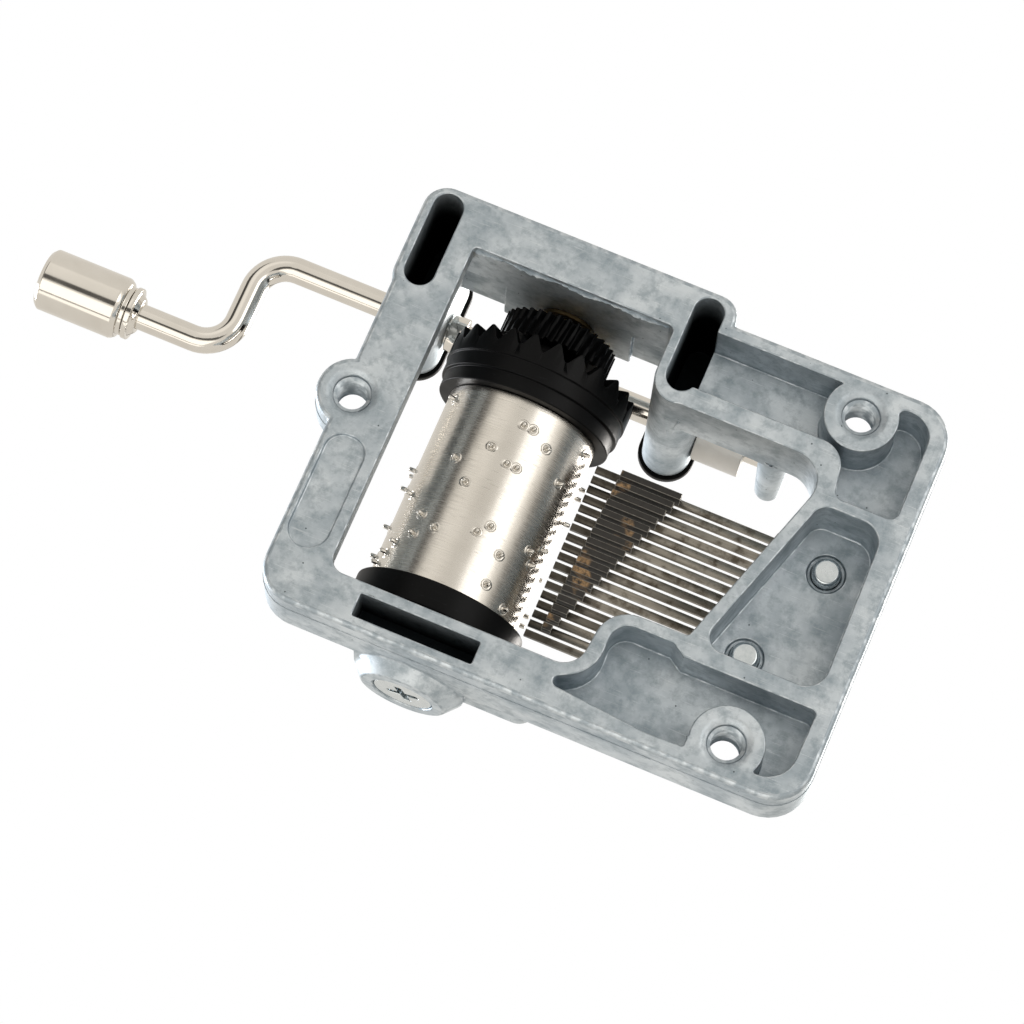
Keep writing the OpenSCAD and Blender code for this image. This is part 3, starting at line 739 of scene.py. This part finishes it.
# Radians of the long waves from one end of the fin to the other
WAVES = 23
bpy.ops.object.select_all(action="DESELECT")
bpy.ops.mesh.primitive_grid_add(x_subdivisions=90, y_subdivisions=2, size=1.0)
fin = bpy.context.object
fin.name = "window_flash"
for vertex in fin.data.vertices:
    reach = vertex.co.y + 0.5
    width = REACH + WAVE * math.sin(vertex.co.x * WAVES) + random.uniform(-RAGGED, RAGGED)
    vertex.co = Vector((FLASH_X[0] + (vertex.co.x + 0.5) * (FLASH_X[1] - FLASH_X[0]),
                        FLASH_Y + reach * width * MM,
                        FLASH_Z + reach * random.uniform(-CURL, CURL) * MM))
apply_modifier(fin, "SOLIDIFY", thickness=FLASH_THICK, offset=0.0)
fin.data.materials.append(zinc_edge)
smooth_faces(fin)
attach(fin, "base")

# %% [markdown]
# ### A relief on the shaft post
# The end of the far shaft post carries a small cast relief. What it is for is not known, and
# it may be a mark of the mould. Here it is two flattened boxes in the outline of a V. Each is
# leaned over and bevelled, and their upper ends meet. The post is round, so the outer box
# lies a little deeper than the inner one. Nothing else depends on this piece.

# %% Cast relief
# Each rib: x and y of its middle in mm, and its lean in degrees
RIBS = [(25.52, -10.16, 5.5), (26.28, -10.28, -7.5)]
RIB_SIZE = (0.26, 0.34, 4.3)
RIB_Z = 6.7
ribs = []
for x, y, lean_by in RIBS:
    bpy.ops.object.select_all(action="DESELECT")
    bpy.ops.mesh.primitive_cube_add(size=1.0, location=(x * MM, y * MM, RIB_Z * MM),
                                    rotation=(0, math.radians(lean_by), 0))
    rib = bpy.context.object
    rib.scale = [side * MM for side in RIB_SIZE]
    bpy.ops.object.transform_apply(location=True, rotation=True, scale=True)
    round_edges(rib, 0.09)
    ribs.append(rib)
only(ribs[0])
ribs[1].select_set(True)
bpy.ops.object.join()
mark = ribs[0]
mark.name = "cast_v_mark"
mark.data.materials.clear()
mark.data.materials.append(zinc)
smooth_faces(mark)
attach(mark, "base")

# %% [markdown]
# ### Tapped threads
# The three fixing holes are tapped. A thread is a small triangle wound up a helix, which is
# what the Screw modifier does: it turns a profile round an axis while it climbs. The two
# open ends of the helix are then closed.

# %% Threads
TAPPED = [(0.0, 0.0), (41.2, -15.45), (41.4, 16.25)]
HOLE_R = 1.65 * MM
THREAD_PITCH = 0.6 * MM
THREAD_START = 0.5 * MM
THREAD_TURNS = 7
THREAD_SIZE = 0.21 * MM
THREAD_SUNK = 0.35 * THREAD_SIZE
THREAD_STEPS = 36
for index, (x, y) in enumerate(TAPPED):
    bpy.ops.object.select_all(action="DESELECT")
    bpy.ops.mesh.primitive_circle_add(vertices=3, radius=THREAD_SIZE,
                                      rotation=(math.pi / 2, 0, 0))
    thread = bpy.context.object
    thread.name = "tapped_thread_%d" % (index + 1)
    bpy.ops.object.transform_apply(location=True, rotation=True, scale=True)
    thread.rotation_euler = (0, -math.pi / 2, 0)
    thread.location = (HOLE_R - THREAD_SUNK, 0, THREAD_START)
    bpy.ops.object.transform_apply(location=True, rotation=True, scale=True)
    apply_modifier(thread, "SCREW", angle=2 * math.pi, screw_offset=THREAD_PITCH,
                   iterations=THREAD_TURNS, steps=THREAD_STEPS, render_steps=THREAD_STEPS)
    thread.location = (x * MM, y * MM, 0)
    bpy.ops.object.transform_apply(location=True, rotation=True, scale=True)
    bpy.ops.object.mode_set(mode="EDIT")
    bpy.ops.mesh.select_all(action="SELECT")
    bpy.ops.mesh.fill_holes(sides=3)
    bpy.ops.mesh.select_all(action="SELECT")
    bpy.ops.mesh.normals_make_consistent(inside=False)
    bpy.ops.object.mode_set(mode="OBJECT")
    thread.data.materials.append(zinc_edge)
    smooth_faces(thread, smooth=30)
    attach(thread, "base")

# %% [markdown]
# ### The pinned sleeve
# The sleeve is a thin nickel-plated tube, and every note of the tune is a steel pin driven
# through it. The pins' places are the tune, so they are measured on the designed sleeve: the
# points that stand furthest from the axis belong to pin tips, and points closer together
# than a track belong to the same pin. Each pin pushes up a little crater of metal round
# itself, and the crater and the pin are one profile, drawn up ring by ring from a circle.

# %% Pinned sleeve
TIP_R = SLEEVE_R + 0.52 * MM
SAME_PIN = 0.46 * MM
TUBE_WALL = 0.5 * MM
SLEEVE_SIDES = 128
PIN_SIDES = 10
# Rings of the pin's profile, from the skirt of its crater to its tip: radius and height
PIN_RINGS = [(0.60, -0.03), (0.46, 0.045), (0.37, 0.05), (0.27, -0.01), (0.21, 0.03),
             (0.19, 0.53), (0.12, 0.595)]

tips = []
for vertex in nodes["pinned_sleeve"].data.vertices:
    out = Vector((vertex.co.x - CYLINDER_AXIS.x, 0, vertex.co.z - CYLINDER_AXIS.z))
    if out.length > TIP_R:
        group = next((g for g in tips if (g[0] - vertex.co).length < SAME_PIN), None)
        if group is None:
            tips.append([vertex.co.copy()])
        else:
            group.append(vertex.co.copy())
print("pins:", len(tips))

low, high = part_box("pinned_sleeve")
bpy.ops.object.select_all(action="DESELECT")
bpy.ops.mesh.primitive_cylinder_add(
    vertices=SLEEVE_SIDES, radius=SLEEVE_R, depth=high.y - low.y, end_fill_type="NOTHING",
    location=(CYLINDER_AXIS.x, (low.y + high.y) / 2, CYLINDER_AXIS.z),
    rotation=(math.pi / 2, 0, 0))
sleeve = bpy.context.object
sleeve.name = "spun_sleeve"
bpy.ops.object.transform_apply(location=True, rotation=True, scale=True)
apply_modifier(sleeve, "SOLIDIFY", thickness=TUBE_WALL, offset=-1.0)
round_edges(sleeve, 0.12, sharp=60)

bpy.ops.object.select_all(action="DESELECT")
first_r, first_height = PIN_RINGS[0]
bpy.ops.mesh.primitive_circle_add(vertices=PIN_SIDES, radius=first_r * MM, fill_type="NGON",
                                  location=(0, 0, first_height * MM))
pin = bpy.context.object
bpy.ops.object.transform_apply(location=True, rotation=True, scale=True)
bpy.ops.object.mode_set(mode="EDIT")
bpy.ops.mesh.select_all(action="SELECT")
for (r0, h0), (r1, h1) in zip(PIN_RINGS, PIN_RINGS[1:]):
    bpy.ops.mesh.extrude_region_move(TRANSFORM_OT_translate={"value": (0, 0, (h1 - h0) * MM)})
    bpy.ops.transform.resize(value=(r1 / r0, r1 / r0, 1), center_override=(0, 0, h1 * MM))
bpy.ops.mesh.select_all(action="SELECT")
bpy.ops.mesh.normals_make_consistent(inside=False)
bpy.ops.object.mode_set(mode="OBJECT")
copies = []
for group in tips:
    tip = sum(group, Vector()) / len(group)
    out = Vector((tip.x - CYLINDER_AXIS.x, 0, tip.z - CYLINDER_AXIS.z)).normalized()
    foot = Vector((CYLINDER_AXIS.x, tip.y, CYLINDER_AXIS.z)) + out * SLEEVE_R
    copy = bpy.data.objects.new("pin", pin.data.copy())
    copy.data.transform(Matrix.LocRotScale(foot, out.to_track_quat("Z", "Y"), None))
    scene.collection.objects.link(copy)
    copies.append(copy)
bpy.data.objects.remove(pin)
only(sleeve)
for copy in copies:
    copy.select_set(True)
bpy.ops.object.join()
sleeve.data.materials.clear()
sleeve.data.materials.append(sleeve_nickel)
for polygon in sleeve.data.polygons:
    polygon.material_index = 0
smooth_faces(sleeve, smooth=50)
settle(sleeve, "cylinder", "pinned_sleeve")

# %% [markdown]
# ### Parts that keep their designed shape
# The small turned and moulded parts only need softened edges and their own finish. They
# share one loop. Each bevel is as wide as its process leaves it, wide on a moulded ring;
# the comb, the worm wheel and the worm get none.

# %% Softened copies
# Each: the designed node, its body, the bevel in mm, its finishes, and its slot
SOFTENED = [
    ("shaft_cap_left", "base", 0.12, [acetal], "black_cap"),
    ("shaft_cap_right", "base", 0.12, [acetal], "black_cap"),
    ("arbor_bush", "base", 0.08, [bronze], "brass"),
    ("pivot_screw", "base", 0.10, [plated_steel], "bright_steel"),
    ("comb", "base", 0.0, [comb_steel], "comb_steel"),
    ("tuning_weights", "base", 0.05, [lead, lead_edge_painted_highlight], "lead"),
    ("comb_screws", "base", 0.12, [plated_steel], "bright_steel"),
    ("comb_washers", "base", 0.06, [plated_steel], "bright_steel"),
    ("crown_ring", "cylinder", 0.12, [acetal], "black_acetal"),
    ("worm_wheel", "cylinder", 0.0, [acetal], "black_acetal"),
    ("end_disc", "cylinder", 0.15, [acetal], "black_acetal"),
    ("arbor", "cylinder", 0.08, [plated_steel], "bright_steel"),
    ("arbor_washer", "cylinder", 0.05, [brass], "brass"),
    ("drive_worm", "crank", 0.0, [brass], "brass"),
    ("worm_collar", "crank", 0.10, [nickel], "nickel"),
    ("shaft_retainer", "crank", 0.10, [nylon], "natural_nylon"),
    ("knob_washer", "crank", 0.06, [nickel], "nickel"),
    ("crank_knob", "knob", 0.10, [nickel], "nickel"),
    ("crank_rod", "crank", 0.10, [nickel], "nickel"),
]
for node, body, edge_mm, finishes, slot in SOFTENED:
    settle(soften(merged_copy(node, "finished_" + node), edge_mm, finishes), body, node)
